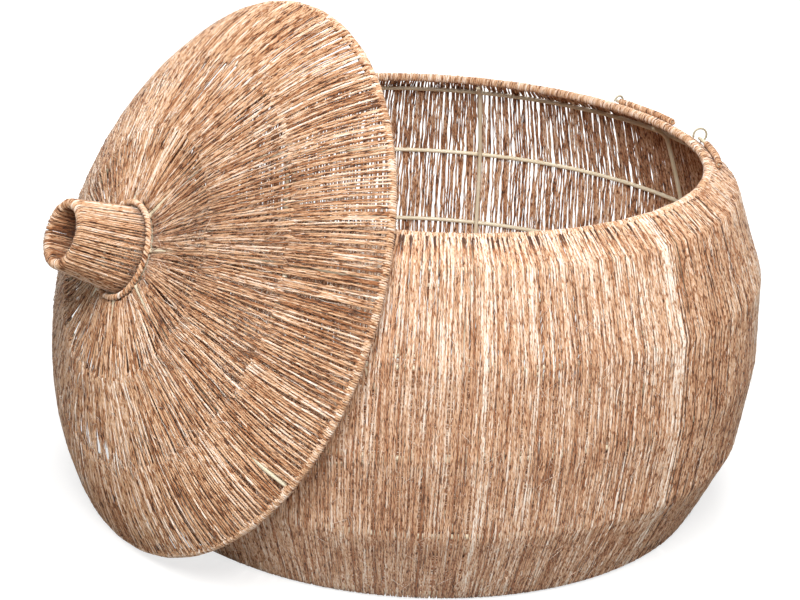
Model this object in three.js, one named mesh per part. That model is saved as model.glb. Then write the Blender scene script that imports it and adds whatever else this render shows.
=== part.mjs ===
// A round storage basket with a domed lid: a painted wire frame strung with natural twine.
// Millimetres, +Z up. The origin is the centre of the base, on the surface the basket stands on.
// The lid is off: it stands on its edge beside the basket and leans on its shoulder.

import * as THREE from "three";

// Wire, twine and the gap left between pieces that touch
const wireRadius = 1.7;
const twineThickness = 2.0;
const touchGap = 0.3;
const basketSides = 45;
const lidSides = 40;
const knobSides = 24;
const wireSides = 6;
const cordSides = 8;
const wrapSteps = 8;
const eyeSteps = 14;
const lipSteps = 6;
const rodSteps = 6;

// Basket hoops: radius of each ring, and the height of each above the one below
const rimRadius = 200;
const upperHoopRadius = 219.5;
const shoulderHoopRadius = 241.3;
const bellyHoopRadius = 244;
const lowerHoopRadius = 236.8;
const baseHoopRadius = 211;
const rimRise = 14.5;
const upperHoopRise = 59.5;
const shoulderHoopRise = 62;
const bellyHoopRise = 58.5;
const lowerHoopRise = 56.5;

// Basket ribs, by the edge of the hoops at which each stands, the rim wrap, the base bars
// and the twine between the ribs, with its slits and the shortest band that has them
const ribEdges = [-1, 4, 10, 15, 20, 25, 30, 35, 40];
const rimWrapRadius = 3.5;
const wrapSlotAngle = THREE.MathUtils.degToRad(60);
const baseBarTurn = THREE.MathUtils.degToRad(15);
const runGap = 0.4;
const slitWidth = 3;
const slitMargin = 9;
const slitBandLength = 30;

// Wire eyes that stand on the rim, each bent by hand, and the rods that lie along the rim from them
const leftEye = { turn: THREE.MathUtils.degToRad(44.6), reach: 5, height: 3 };
const rightEye = { turn: THREE.MathUtils.degToRad(14.8), reach: 7.4, height: 5.3 };
const eyeLoopRadius = 5.2;
const eyeWireRadius = 0.7;
const rodRadius = 1.3;
const leftRod = { side: THREE.MathUtils.degToRad(36.7), off: 0.15 };
const rightRod = { side: THREE.MathUtils.degToRad(17.5), off: 2.1 };
const rodStart = THREE.MathUtils.degToRad(1.5);
const rodEnd = THREE.MathUtils.degToRad(-18);
const lashingStart = THREE.MathUtils.degToRad(-4);
const lashingWall = 0.7;

// Lid: hoop radii, the rise of each hoop above the one outside it, and the knob
const lidNestStep = 5.3;
const lidWrapRadius = 3.3;
const lidOuterHoopRadius = 143.2;
const lidInnerHoopRadius = 87.7;
const neckHoopRadius = 30;
const lidOuterHoopRise = 38.4;
const lidInnerHoopRise = 24.6;
const neckHoopRise = 8.5;
const outerBandBulge = 2.5;
const lidRibCount = 8;
const lidRibTurn = THREE.MathUtils.degToRad(18);
const neckCordRadius = 2.4;
const neckCordStep = 3;
const neckCordRise = 4;
const knobLength = 51.8;
const mouthHoopRadius = 20.6;
const mouthWireRadius = 1.5;
const knobTwineThickness = 1.7;
const lipReturn = 10;
const strutCount = 4;
const strutRadius = 1.2;

// How the lid leans: the way it faces, how far its axis points up, and the gap under its edge
const leanAzimuth = THREE.MathUtils.degToRad(213.8);
const leanElevation = THREE.MathUtils.degToRad(22.33);
const floorGap = 0.3;

// Sizes that follow from those above
const baseHoopHeight = twineThickness + touchGap + wireRadius;
const twineInside = wireRadius + touchGap;
const twineOutside = twineInside + twineThickness;
const ribInset = 2 * wireRadius + touchGap;
const wrapBore = wireRadius + touchGap;
const lidRimRadius = rimRadius - lidNestStep;

// Hoop centres in the half plane of radius and height, from the rim down and from the lid's rim up
const lowerHoopHeight = baseHoopHeight + lowerHoopRise;
const bellyHoopHeight = lowerHoopHeight + bellyHoopRise;
const shoulderHoopHeight = bellyHoopHeight + shoulderHoopRise;
const upperHoopHeight = shoulderHoopHeight + upperHoopRise;
const rimHeight = upperHoopHeight + rimRise;
const basketLine = [
  new THREE.Vector2(rimRadius, rimHeight),
  new THREE.Vector2(upperHoopRadius, upperHoopHeight),
  new THREE.Vector2(shoulderHoopRadius, shoulderHoopHeight),
  new THREE.Vector2(bellyHoopRadius, bellyHoopHeight),
  new THREE.Vector2(lowerHoopRadius, lowerHoopHeight),
  new THREE.Vector2(baseHoopRadius, baseHoopHeight),
];
const lidOuterHoopDepth = lidOuterHoopRise;
const lidInnerHoopDepth = lidOuterHoopDepth + lidInnerHoopRise;
const neckHoopDepth = lidInnerHoopDepth + neckHoopRise;
const lidLine = [
  new THREE.Vector2(lidRimRadius, 0),
  new THREE.Vector2(lidOuterHoopRadius, lidOuterHoopDepth),
  new THREE.Vector2(lidInnerHoopRadius, lidInnerHoopDepth),
  new THREE.Vector2(neckHoopRadius, neckHoopDepth),
];

// Colours, roughness and metalness of the finishes
const finishes = {
  twine: { color: "#c1956b", roughness: 0.92, metalness: 0 },
  wrap: { color: "#c99d73", roughness: 0.92, metalness: 0 },
  wire: { color: "#cdbb97", roughness: 0.5, metalness: 0.1 },
};

function addPiece(group, name, geometry, finish) {
  const mesh = new THREE.Mesh(geometry, new THREE.MeshStandardMaterial(finishes[finish]));
  mesh.name = name;
  group.add(mesh);
  return mesh;
}

// A closed mesh with its faces turned outwards
function facingOut(geometry) {
  const index = geometry.index.array;
  const position = geometry.attributes.position;
  const corner = [new THREE.Vector3(), new THREE.Vector3(), new THREE.Vector3()];
  let volume = 0;
  for (let i = 0; i < index.length; i += 3) {
    corner.forEach((point, k) => point.fromBufferAttribute(position, index[i + k]));
    volume += corner[0].dot(corner[1].cross(corner[2]));
  }
  if (volume < 0) {
    for (let i = 0; i < index.length; i += 3) {
      [index[i], index[i + 1]] = [index[i + 1], index[i]];
    }
  }
  return geometry;
}

// A closed section turned all the way round the Z axis, with one edge of it over +X
function revolve(section, sides) {
  const lathe = new THREE.LatheGeometry([...section, section[0]], sides, Math.PI / 2);
  lathe.rotateX(Math.PI / 2);
  return facingOut(lathe);
}

// A closed section carried round the Z axis over a list of angles, with flat ends
function revolvePart(section, angles) {
  const vertices = [];
  for (const angle of angles) {
    for (const point of section) {
      vertices.push(point.x * Math.cos(angle), point.x * Math.sin(angle), point.y);
    }
  }
  const count = section.length;
  const last = (angles.length - 1) * count;
  const faces = [];
  for (let ring = 0; ring < last; ring += count) {
    for (let i = 0; i < count; i += 1) {
      const next = (i + 1) % count;
      faces.push(ring + i, ring + next, ring + count + next);
      faces.push(ring + i, ring + count + next, ring + count + i);
    }
  }
  for (const [a, b, c] of THREE.ShapeUtils.triangulateShape(section, [])) {
    faces.push(a, c, b);
    faces.push(last + a, last + b, last + c);
  }
  const geometry = new THREE.BufferGeometry();
  geometry.setAttribute("position", new THREE.Float32BufferAttribute(vertices, 3));
  geometry.setIndex(faces);
  return facingOut(geometry);
}

function arcPoints(center, radius, from, to, steps) {
  return Array.from({ length: steps + 1 }, (_, i) => {
    const angle = from + ((to - from) * i) / steps;
    return new THREE.Vector2(center.x + radius * Math.cos(angle), center.y + radius * Math.sin(angle));
  });
}

function roundSection(center, radius, sides) {
  return arcPoints(center, radius, 0, 2 * Math.PI, sides).slice(0, sides);
}

function wireHoop(center, radius, sides) {
  return revolve(roundSection(center, radius, wireSides), sides);
}

// A round wire along a curve
function wireAlong(points, radius, steps) {
  const outline = new THREE.Shape(roundSection(new THREE.Vector2(), radius, wireSides));
  const path = new THREE.CatmullRomCurve3(points, false, "centripetal");
  return new THREE.ExtrudeGeometry(outline, { steps, extrudePath: path, bevelEnabled: false });
}

function directionOf(from, to) {
  return to.clone().sub(from).normalize();
}

// The side of a line that faces away from the inside of the basket or the lid
function outwardOf(direction, turn) {
  return new THREE.Vector2(-direction.y * turn, direction.x * turn);
}

// A line of hoop centres moved outwards by a distance, with its corners mitred
function offsetLine(line, distance, turn) {
  return line.map((point, i) => {
    const before = i > 0 ? directionOf(line[i - 1], point) : directionOf(point, line[i + 1]);
    const after = i < line.length - 1 ? directionOf(point, line[i + 1]) : before;
    const normal = outwardOf(before, turn).add(outwardOf(after, turn)).normalize();
    const lean = normal.dot(outwardOf(after, turn));
    return point.clone().addScaledVector(normal, distance / lean);
  });
}

// The same line with its first and last stretches shortened
function trimLine(line, atStart, atEnd) {
  const trimmed = line.map((point) => point.clone());
  const last = line.length - 1;
  trimmed[0].addScaledVector(directionOf(line[0], line[1]), atStart);
  trimmed[last].addScaledVector(directionOf(line[last], line[last - 1]), atEnd);
  return trimmed;
}

// The section of a layer of twine that lies on the outside of a line of hoops
function twineSection(line, turn) {
  return [...offsetLine(line, twineInside, turn), ...offsetLine(line, twineOutside, turn).reverse()];
}

// A wound edge round a hoop, open along a slot where the strung twine leaves it
function wrapSection(center, towards, radius) {
  const slot = Math.atan2(towards.y - center.y, towards.x - center.x);
  const from = slot + wrapSlotAngle / 2;
  const to = slot + 2 * Math.PI - wrapSlotAngle / 2;
  const bore = wrapBore / Math.cos((to - from) / wrapSteps / 2);
  const skin = arcPoints(center, radius, from, to, wrapSteps);
  return [...skin, ...arcPoints(center, bore, from, to, wrapSteps).reverse()];
}

function aroundZ(point, angle) {
  return new THREE.Vector3(point.x * Math.cos(angle), point.x * Math.sin(angle), point.y);
}

function ribGeometry(line, wrapRadius, turn, angle) {
  const clear = wrapRadius + touchGap + wireRadius;
  const route = trimLine(offsetLine(line, -ribInset, turn), clear - touchGap, 0);
  return wireAlong(route.map((point) => aroundZ(point, angle)), wireRadius, 2 * route.length);
}

// Twine runs down the outside of the basket and out over the lid
const basketTurn = 1;
const lidTurn = -1;
const basketStep = (2 * Math.PI) / basketSides;

function buildBasketFrame(basket) {
  const names = ["rim_hoop", "upper_hoop", "shoulder_hoop", "belly_hoop", "lower_hoop", "base_hoop"];
  names.forEach((name, i) => {
    addPiece(basket, name, wireHoop(basketLine[i], wireRadius, basketSides), "wire");
  });
  ribEdges.forEach((edge, i) => {
    const rib = ribGeometry(basketLine, rimWrapRadius, basketTurn, edge * basketStep);
    addPiece(basket, `side_rib_${i + 1}`, rib, "wire");
  });
}

function buildBase(basket) {
  const reach = (baseHoopRadius - wireRadius) * Math.cos(Math.PI / basketSides) - touchGap;
  const start = wireRadius + touchGap;
  const bars = new THREE.Group();
  bars.rotation.z = baseBarTurn;
  bars.position.z = baseHoopHeight;
  basket.add(bars);
  const long = new THREE.CylinderGeometry(wireRadius, wireRadius, 2 * reach, wireSides);
  addPiece(bars, "base_bar_long", long.rotateZ(Math.PI / 2), "wire");
  for (const [name, side] of [["base_bar_left", 1], ["base_bar_right", -1]]) {
    const half = new THREE.CylinderGeometry(wireRadius, wireRadius, reach - start, wireSides);
    const bar = addPiece(bars, name, half, "wire");
    bar.position.y = (side * (reach + start)) / 2;
  }
  const floorRadius = baseHoopRadius + wireRadius;
  const floor = new THREE.CylinderGeometry(floorRadius, floorRadius, twineThickness, basketSides);
  const floorTwine = addPiece(basket, "base_twine", floor.rotateX(Math.PI / 2), "twine");
  floorTwine.position.z = twineThickness / 2;
}

function buildBasketTwine(basket) {
  const wrap = wrapSection(basketLine[0], basketLine[1], rimWrapRadius);
  addPiece(basket, "rim_wrap", revolve(wrap, basketSides), "wrap");
  const line = trimLine(basketLine, rimWrapRadius + touchGap, 0);
  const halfGap = runGap / 2 / bellyHoopRadius;
  ribEdges.forEach((edge, i) => {
    const nextEdge = i + 1 < ribEdges.length ? ribEdges[i + 1] : ribEdges[0] + basketSides;
    const angles = arcAngles(edge * basketStep, nextEdge * basketStep, nextEdge - edge);
    angles[0] += halfGap;
    angles[nextEdge - edge] -= halfGap;
    addPiece(basket, `side_twine_${i + 1}`, strungRun(line, angles), "twine");
  });
}

// One run of strung twine: a layer over the hoops, with a slit between strands in each flat of each long band
function strungRun(line, angles) {
  const skins = [twineInside, twineOutside].map((distance) => offsetLine(line, distance, basketTurn));
  const vertices = [];
  const faces = [];
  const addPoint = (point) => vertices.push(point.x, point.y, point.z) / 3 - 1;
  const quad = (a, b, c, d) => faces.push(a, b, c, a, c, d);
  const addRow = (skin, angle) => skin.map((point) => addPoint(aroundZ(point, angle)));
  const edges = angles.map((angle) => skins.map((skin) => addRow(skin, angle)));
  const foot = line.length - 1;
  for (let k = 1; k < angles.length; k += 1) {
    const [from, to] = [edges[k - 1], edges[k]];
    for (let i = 1; i <= foot; i += 1) {
      const [inside, outside] = [0, 1].map((s) => [from[s][i - 1], to[s][i - 1], to[s][i], from[s][i]]);
      if (line[i - 1].distanceTo(line[i]) < slitBandLength) {
        quad(...inside);
        quad(...outside.reverse());
        continue;
      }
      const slit = skins.map((skin) => slitCorners(skin[i - 1], skin[i], angles[k - 1], angles[k]));
      const [inner, outer] = slit.map((corners) => corners.map(addPoint));
      for (let c = 0; c < inner.length; c += 1) {
        const next = (c + 1) % inner.length;
        quad(inside[c], inside[next], inner[next], inner[c]);
        quad(outside[next], outside[c], outer[c], outer[next]);
        quad(inner[c], inner[next], outer[next], outer[c]);
      }
    }
    quad(to[0][0], from[0][0], from[1][0], to[1][0]);
    quad(from[0][foot], to[0][foot], to[1][foot], from[1][foot]);
  }
  const [first, last] = [edges[0], edges[angles.length - 1]];
  for (let i = 1; i <= foot; i += 1) {
    quad(first[0][i - 1], first[0][i], first[1][i], first[1][i - 1]);
    quad(last[0][i], last[0][i - 1], last[1][i - 1], last[1][i]);
  }
  const geometry = new THREE.BufferGeometry();
  geometry.setAttribute("position", new THREE.Float32BufferAttribute(vertices, 3));
  geometry.setIndex(faces);
  return facingOut(geometry);
}

// The corners of a slit down the middle of a flat, between two hoops and two angles
function slitCorners(top, foot, from, to) {
  const middle = (from + to) / 2;
  const flat = Math.cos((to - from) / 2);
  const side = new THREE.Vector3(-Math.sin(middle), Math.cos(middle), 0);
  const length = top.distanceTo(foot);
  const upper = slitMargin / length;
  const corners = [[upper, -1], [upper, 1], [1 - upper, 1], [1 - upper, -1]];
  return corners.map(([along, hand]) => {
    const point = top.clone().lerp(foot, along);
    point.x *= flat;
    return aroundZ(point, middle).addScaledVector(side, (hand * slitWidth) / 2);
  });
}

// Each eye stands across the rim, and its rod lies along the rim's outer shoulder
function buildEyes(basket) {
  const bore = (rodRadius + touchGap) / Math.cos(Math.PI / cordSides);
  const lashing = bore + lashingWall;
  for (const [name, eye, seat] of [["left", leftEye, leftRod], ["right", rightEye, rightRod]]) {
    const along = (from, to, steps) => arcAngles(eye.turn + from, eye.turn + to, steps);
    const loop = eyeLoop(eye).map((point) => aroundZ(point, eye.turn));
    addPiece(basket, `eye_${name}`, wireAlong(loop, eyeWireRadius, eyeSteps), "wire");
    const distance = rimWrapRadius + touchGap + lashing + seat.off;
    const [rodCenter] = arcPoints(basketLine[0], distance, seat.side, seat.side, 1);
    const rodSection = roundSection(rodCenter, rodRadius, wireSides);
    addPiece(basket, `eye_rod_${name}`, revolvePart(rodSection, along(rodStart, rodEnd, rodSteps)), "wire");
    const sleeve = sleeveAlong(rodCenter, bore, lashing, along(lashingStart, rodEnd, rodSteps));
    addPiece(basket, `eye_lashing_${name}`, sleeve, "wrap");
  }
}

// The loop of an eye: one foot on the strung twine outside the rim, the other on the rim's wrap
function eyeLoop(eye) {
  const center = new THREE.Vector2(eye.reach, eye.height);
  const clear = eyeWireRadius + touchGap;
  const twineSide = outwardOf(directionOf(basketLine[0], basketLine[1]), basketTurn);
  const twineDrop = clear + twineOutside - center.dot(twineSide);
  const start = Math.atan2(twineSide.y, twineSide.x) - Math.acos(twineDrop / eyeLoopRadius);
  const wrapReach = rimWrapRadius + clear;
  const spread = wrapReach ** 2 - center.lengthSq() - eyeLoopRadius ** 2;
  const end = center.angle() + Math.acos(spread / (2 * eyeLoopRadius * center.length()));
  return arcPoints(center.add(basketLine[0]), eyeLoopRadius, start, end, eyeSteps);
}

function arcAngles(from, to, steps) {
  return Array.from({ length: steps + 1 }, (_, i) => from + ((to - from) * i) / steps);
}

// A tube with a bore, carried round the Z axis: its two walls joined by flat rings at the ends
function sleeveAlong(center, boreRadius, outerRadius, angles) {
  const sides = cordSides;
  const bore = roundSection(center, boreRadius, sides);
  const skin = roundSection(center, outerRadius, sides);
  const vertices = [];
  for (const angle of angles) {
    for (const point of [...skin, ...bore]) {
      const place = aroundZ(point, angle);
      vertices.push(place.x, place.y, place.z);
    }
  }
  const faces = [];
  const quad = (a, b, c, d) => faces.push(a, b, c, a, c, d);
  const ringSize = 2 * sides;
  const last = (angles.length - 1) * ringSize;
  for (let i = 0; i < sides; i += 1) {
    const next = (i + 1) % sides;
    for (let ring = 0; ring < last; ring += ringSize) {
      const far = ring + ringSize;
      quad(ring + i, ring + next, far + next, far + i);
      quad(ring + sides + next, ring + sides + i, far + sides + i, far + sides + next);
    }
    quad(i, sides + i, sides + next, next);
    quad(last + next, last + sides + next, last + sides + i, last + i);
  }
  const geometry = new THREE.BufferGeometry();
  geometry.setAttribute("position", new THREE.Float32BufferAttribute(vertices, 3));
  geometry.setIndex(faces);
  return facingOut(geometry);
}

function buildLidFrame(lid) {
  const names = ["lid_rim_hoop", "lid_outer_hoop", "lid_inner_hoop"];
  names.forEach((name, i) => {
    addPiece(lid, name, wireHoop(lidLine[i], wireRadius, lidSides), "wire");
  });
  addPiece(lid, "neck_hoop", wireHoop(lidLine[3], wireRadius, lidSides), "wire");
  for (let i = 0; i < lidRibCount; i += 1) {
    const angle = lidRibTurn + (2 * Math.PI * i) / lidRibCount;
    const rib = ribGeometry(lidLine, lidWrapRadius, lidTurn, angle);
    addPiece(lid, `lid_rib_${i + 1}`, rib, "wire");
  }
}

// Three rings of twine, each strung between two hoops, and the wound edge of the lid
function buildLidTwine(lid) {
  const wrap = wrapSection(lidLine[0], lidLine[1], lidWrapRadius);
  addPiece(lid, "lid_rim_wrap", revolve(wrap, lidSides), "wrap");
  const middle = lidLine[0].clone().add(lidLine[1]).multiplyScalar(0.5);
  middle.addScaledVector(outwardOf(directionOf(lidLine[0], lidLine[1]), lidTurn), outerBandBulge);
  const outer = trimLine([lidLine[0], middle, lidLine[1]], lidWrapRadius + touchGap, 0);
  addPiece(lid, "lid_twine_outer", revolve(twineSection(outer, lidTurn), lidSides), "twine");
  const between = [lidLine[1], lidLine[2]];
  addPiece(lid, "lid_twine_middle", revolve(twineSection(between, lidTurn), lidSides), "twine");
  const neckClear = neckCordStep + neckCordRadius + 2 * touchGap;
  const inner = trimLine([lidLine[2], lidLine[3]], 0, neckClear);
  addPiece(lid, "lid_twine_inner", revolve(twineSection(inner, lidTurn), lidSides), "twine");
}

// The neck cord lies in the corner between the foot of the knob and the inner ring of twine
function buildKnob(lid) {
  const cordCenter = new THREE.Vector2(neckHoopRadius + neckCordStep, neckHoopDepth + neckCordRise);
  const cord = revolve(roundSection(cordCenter, neckCordRadius, cordSides), knobSides);
  addPiece(lid, "neck_cord", cord, "wrap");
  const lipRadius = mouthWireRadius + touchGap + knobTwineThickness;
  const lipCenter = new THREE.Vector2(mouthHoopRadius, neckHoopDepth + knobLength - lipRadius);
  const footDepth = neckHoopDepth + wireRadius + touchGap;
  const footOutside = cordCenter.x - neckCordRadius - touchGap;
  const returnDepth = lipCenter.y - lipReturn;
  const lipBore = lipRadius - knobTwineThickness;
  const sleeve = [
    new THREE.Vector2(footOutside, footDepth),
    ...arcPoints(lipCenter, lipRadius, 0, Math.PI, lipSteps),
    new THREE.Vector2(lipCenter.x - lipRadius, returnDepth),
    new THREE.Vector2(lipCenter.x - lipBore, returnDepth),
    ...arcPoints(lipCenter, lipBore, Math.PI, 0, lipSteps),
    new THREE.Vector2(footOutside - knobTwineThickness, footDepth),
  ];
  addPiece(lid, "knob_twine", revolve(sleeve, knobSides), "twine");
  addPiece(lid, "mouth_hoop", wireHoop(lipCenter, mouthWireRadius, knobSides), "wire");
  const footRadius = footOutside - knobTwineThickness - touchGap - strutRadius;
  const top = new THREE.Vector2(mouthHoopRadius, lipCenter.y - mouthWireRadius);
  const foot = new THREE.Vector2(footRadius, footDepth);
  for (let i = 0; i < strutCount; i += 1) {
    const angle = lidRibTurn + (2 * Math.PI * i) / strutCount;
    const route = [foot, top].map((point) => aroundZ(point, angle));
    addPiece(lid, `knob_strut_${i + 1}`, wireAlong(route, strutRadius, 1), "wire");
  }
}

// Distance from a point to the outside of the basket, in the half plane of radius and height
function distanceToBasket(point) {
  let nearest = point.distanceTo(basketLine[0]) - rimWrapRadius;
  for (let i = 1; i < basketLine.length; i += 1) {
    const stretch = new THREE.Line3(lift(basketLine[i - 1]), lift(basketLine[i]));
    const foot = stretch.closestPointToPoint(lift(point), true, new THREE.Vector3());
    nearest = Math.min(nearest, foot.distanceTo(lift(point)) - twineOutside);
  }
  return nearest;
}

function lift(point) {
  return new THREE.Vector3(point.x, point.y, 0);
}

// Points on the inside of the lid that can touch the basket: its edge, its hoops and its ribs
function lidInsidePoints() {
  const points = [];
  const ringSteps = 72;
  lidLine.forEach((hoop, ring) => {
    const radius = ring === 0 ? lidWrapRadius : wireRadius;
    for (let i = 0; i < ringSteps; i += 1) {
      points.push({ place: aroundZ(hoop, (2 * Math.PI * i) / ringSteps), radius });
    }
  });
  const ribLine = offsetLine(lidLine, -ribInset, lidTurn);
  const ribSteps = 12;
  for (let i = 0; i < lidRibCount; i += 1) {
    const angle = lidRibTurn + (2 * Math.PI * i) / lidRibCount;
    for (let k = 1; k < ribLine.length; k += 1) {
      for (let s = 1; s <= ribSteps; s += 1) {
        const place = ribLine[k - 1].clone().lerp(ribLine[k], s / ribSteps);
        points.push({ place: aroundZ(place, angle), radius: wireRadius });
      }
    }
  }
  return points;
}

// The lid stands on its edge, and is moved in until its inside rests on the basket's shoulder
function leanLid() {
  const height = lidRimRadius * Math.cos(leanElevation) + lidWrapRadius + floorGap;
  const tilt = new THREE.Matrix4().makeRotationY(Math.PI / 2 - leanElevation);
  const inside = lidInsidePoints();
  inside.forEach((point) => point.place.applyMatrix4(tilt));
  const gapAt = (reach) => {
    const gaps = inside.map(({ place, radius }) => {
      const out = Math.hypot(place.x + reach, place.y);
      return distanceToBasket(new THREE.Vector2(out, place.z + height)) - radius;
    });
    return Math.min(...gaps);
  };
  const moves = 80;
  let reach = 2 * (rimRadius + lidRimRadius);
  for (let i = 0; i < moves; i += 1) {
    reach -= gapAt(reach) - touchGap;
  }
  return new THREE.Vector3(reach, 0, height);
}

const object = new THREE.Group();
const basket = new THREE.Group();
object.add(basket);
buildBasketFrame(basket);
buildBase(basket);
buildBasketTwine(basket);
buildEyes(basket);

const lidSide = new THREE.Group();
lidSide.rotation.z = leanAzimuth;
object.add(lidSide);
const lid = new THREE.Group();
lid.position.copy(leanLid());
lid.rotation.y = Math.PI / 2 - leanElevation;
lidSide.add(lid);
buildLidFrame(lid);
buildLidTwine(lid);
buildKnob(lid);

export default object;
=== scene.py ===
import bpy
import math
import numpy as np
from mathutils import Matrix, Vector


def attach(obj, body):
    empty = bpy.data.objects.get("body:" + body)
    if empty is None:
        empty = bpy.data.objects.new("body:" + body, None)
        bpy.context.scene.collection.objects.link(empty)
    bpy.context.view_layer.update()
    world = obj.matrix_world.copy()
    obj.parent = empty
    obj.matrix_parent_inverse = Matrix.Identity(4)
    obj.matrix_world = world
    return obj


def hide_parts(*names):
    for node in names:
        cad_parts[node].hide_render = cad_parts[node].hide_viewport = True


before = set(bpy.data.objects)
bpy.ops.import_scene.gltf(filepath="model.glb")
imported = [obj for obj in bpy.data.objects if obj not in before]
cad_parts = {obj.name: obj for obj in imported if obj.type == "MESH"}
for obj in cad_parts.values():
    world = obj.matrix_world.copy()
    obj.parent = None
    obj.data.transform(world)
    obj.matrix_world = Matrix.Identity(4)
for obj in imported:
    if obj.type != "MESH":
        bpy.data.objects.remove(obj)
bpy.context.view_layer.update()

# Round storage basket with a domed lid: cream wire frame strung with natural twine.
# Sizes are written in millimetres and turned to metres by mm.
mm = 0.001
scene = bpy.context.scene
scene.view_settings.view_transform = "Standard"

# hoop centres of the frame: node, radius, height above the floor or above the lid's edge
basketHoops = [
    ("rim_hoop", 200.0, 255.0),
    ("upper_hoop", 219.5, 240.5),
    ("shoulder_hoop", 241.3, 181.0),
    ("belly_hoop", 244.0, 119.0),
    ("lower_hoop", 236.8, 60.5),
    ("base_hoop", 211.0, 4.0),
]
lidHoops = [
    ("lid_rim_hoop", 194.7, 0.0),
    ("lid_outer_hoop", 143.2, 38.4),
    ("lid_inner_hoop", 87.7, 63.0),
    ("neck_hoop", 30.0, 71.5),
]
mouthHoop = ("mouth_hoop", 20.6, 119.8)
basketCentres = [(r, z) for _, r, z in basketHoops]
lidCentres = np.array([(r, z) for _, r, z in lidHoops])
bellyRadius = basketHoops[3][1]

# the lid leans on the front left: its own frame has Z along its axis and X down to the floor
lean = {"azimuth": 213.8, "elevation": 22.33}
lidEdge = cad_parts["lid_rim_hoop"].data.vertices
lidMiddle = Vector(np.mean([tuple(v.co) for v in lidEdge], axis=0))
lidFrame = (
    Matrix.Translation(lidMiddle)
    @ Matrix.Rotation(math.radians(lean["azimuth"]), 4, "Z")
    @ Matrix.Rotation(math.radians(90 - lean["elevation"]), 4, "Y")
)


# materials
def linear(hexColour):
    parts = [int(hexColour[i:i + 2], 16) / 255 for i in (1, 3, 5)]
    return [c / 12.92 if c <= 0.04045 else ((c + 0.055) / 1.055) ** 2.4 for c in parts] + [1.0]


def addNode(tree, kind, settings=None, links=None):
    node = tree.nodes.new(kind)
    for key, value in (settings or {}).items():
        if isinstance(key, int) or key in node.inputs:
            node.inputs[key].default_value = value
        else:
            setattr(node, key, value)
    for key, source in (links or {}).items():
        tree.links.new(source, node.inputs[key])
    return node


def newMaterial(name, roughness, settings=None):
    material = bpy.data.materials.new(name)
    material.use_nodes = True
    tree = material.node_tree
    shader = tree.nodes["Principled BSDF"]
    shader.inputs["Roughness"].default_value = roughness
    for key, value in (settings or {}).items():
        shader.inputs[key].default_value = value
    return material, tree, shader


def setRamp(node, stops):
    elements = node.color_ramp.elements
    while len(elements) < len(stops):
        elements.new(0.5)
    for element, (position, colour) in zip(elements, stops):
        element.position = position
        element.color = linear(colour)


# Jute twine, loosely spun: dull and hairy, straw to brown from strand to strand,
# with painted shade in short dark gaps between its fibres and a little painted light and shade along its lay. The
# tones are steps along the colour ramp.
yarn = {
    "roughness": 0.9, "sheen": 0.15, "sheenRoughness": 0.5,
    "patch": 45.0, "patchTone": 0.3,
    "fibreTone": 0.9, "fibresRound": 5.0,
    "gapsRound": 3.0, "gapShift": (3.0, 0.0, 7.0), "gapNoise": (0.34, 0.48),
    "lay": 7.0, "layShading": 0.04, "layHeight": 0.2,
    "bump": 0.5, "bumpDepth": 0.5,
}


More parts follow.
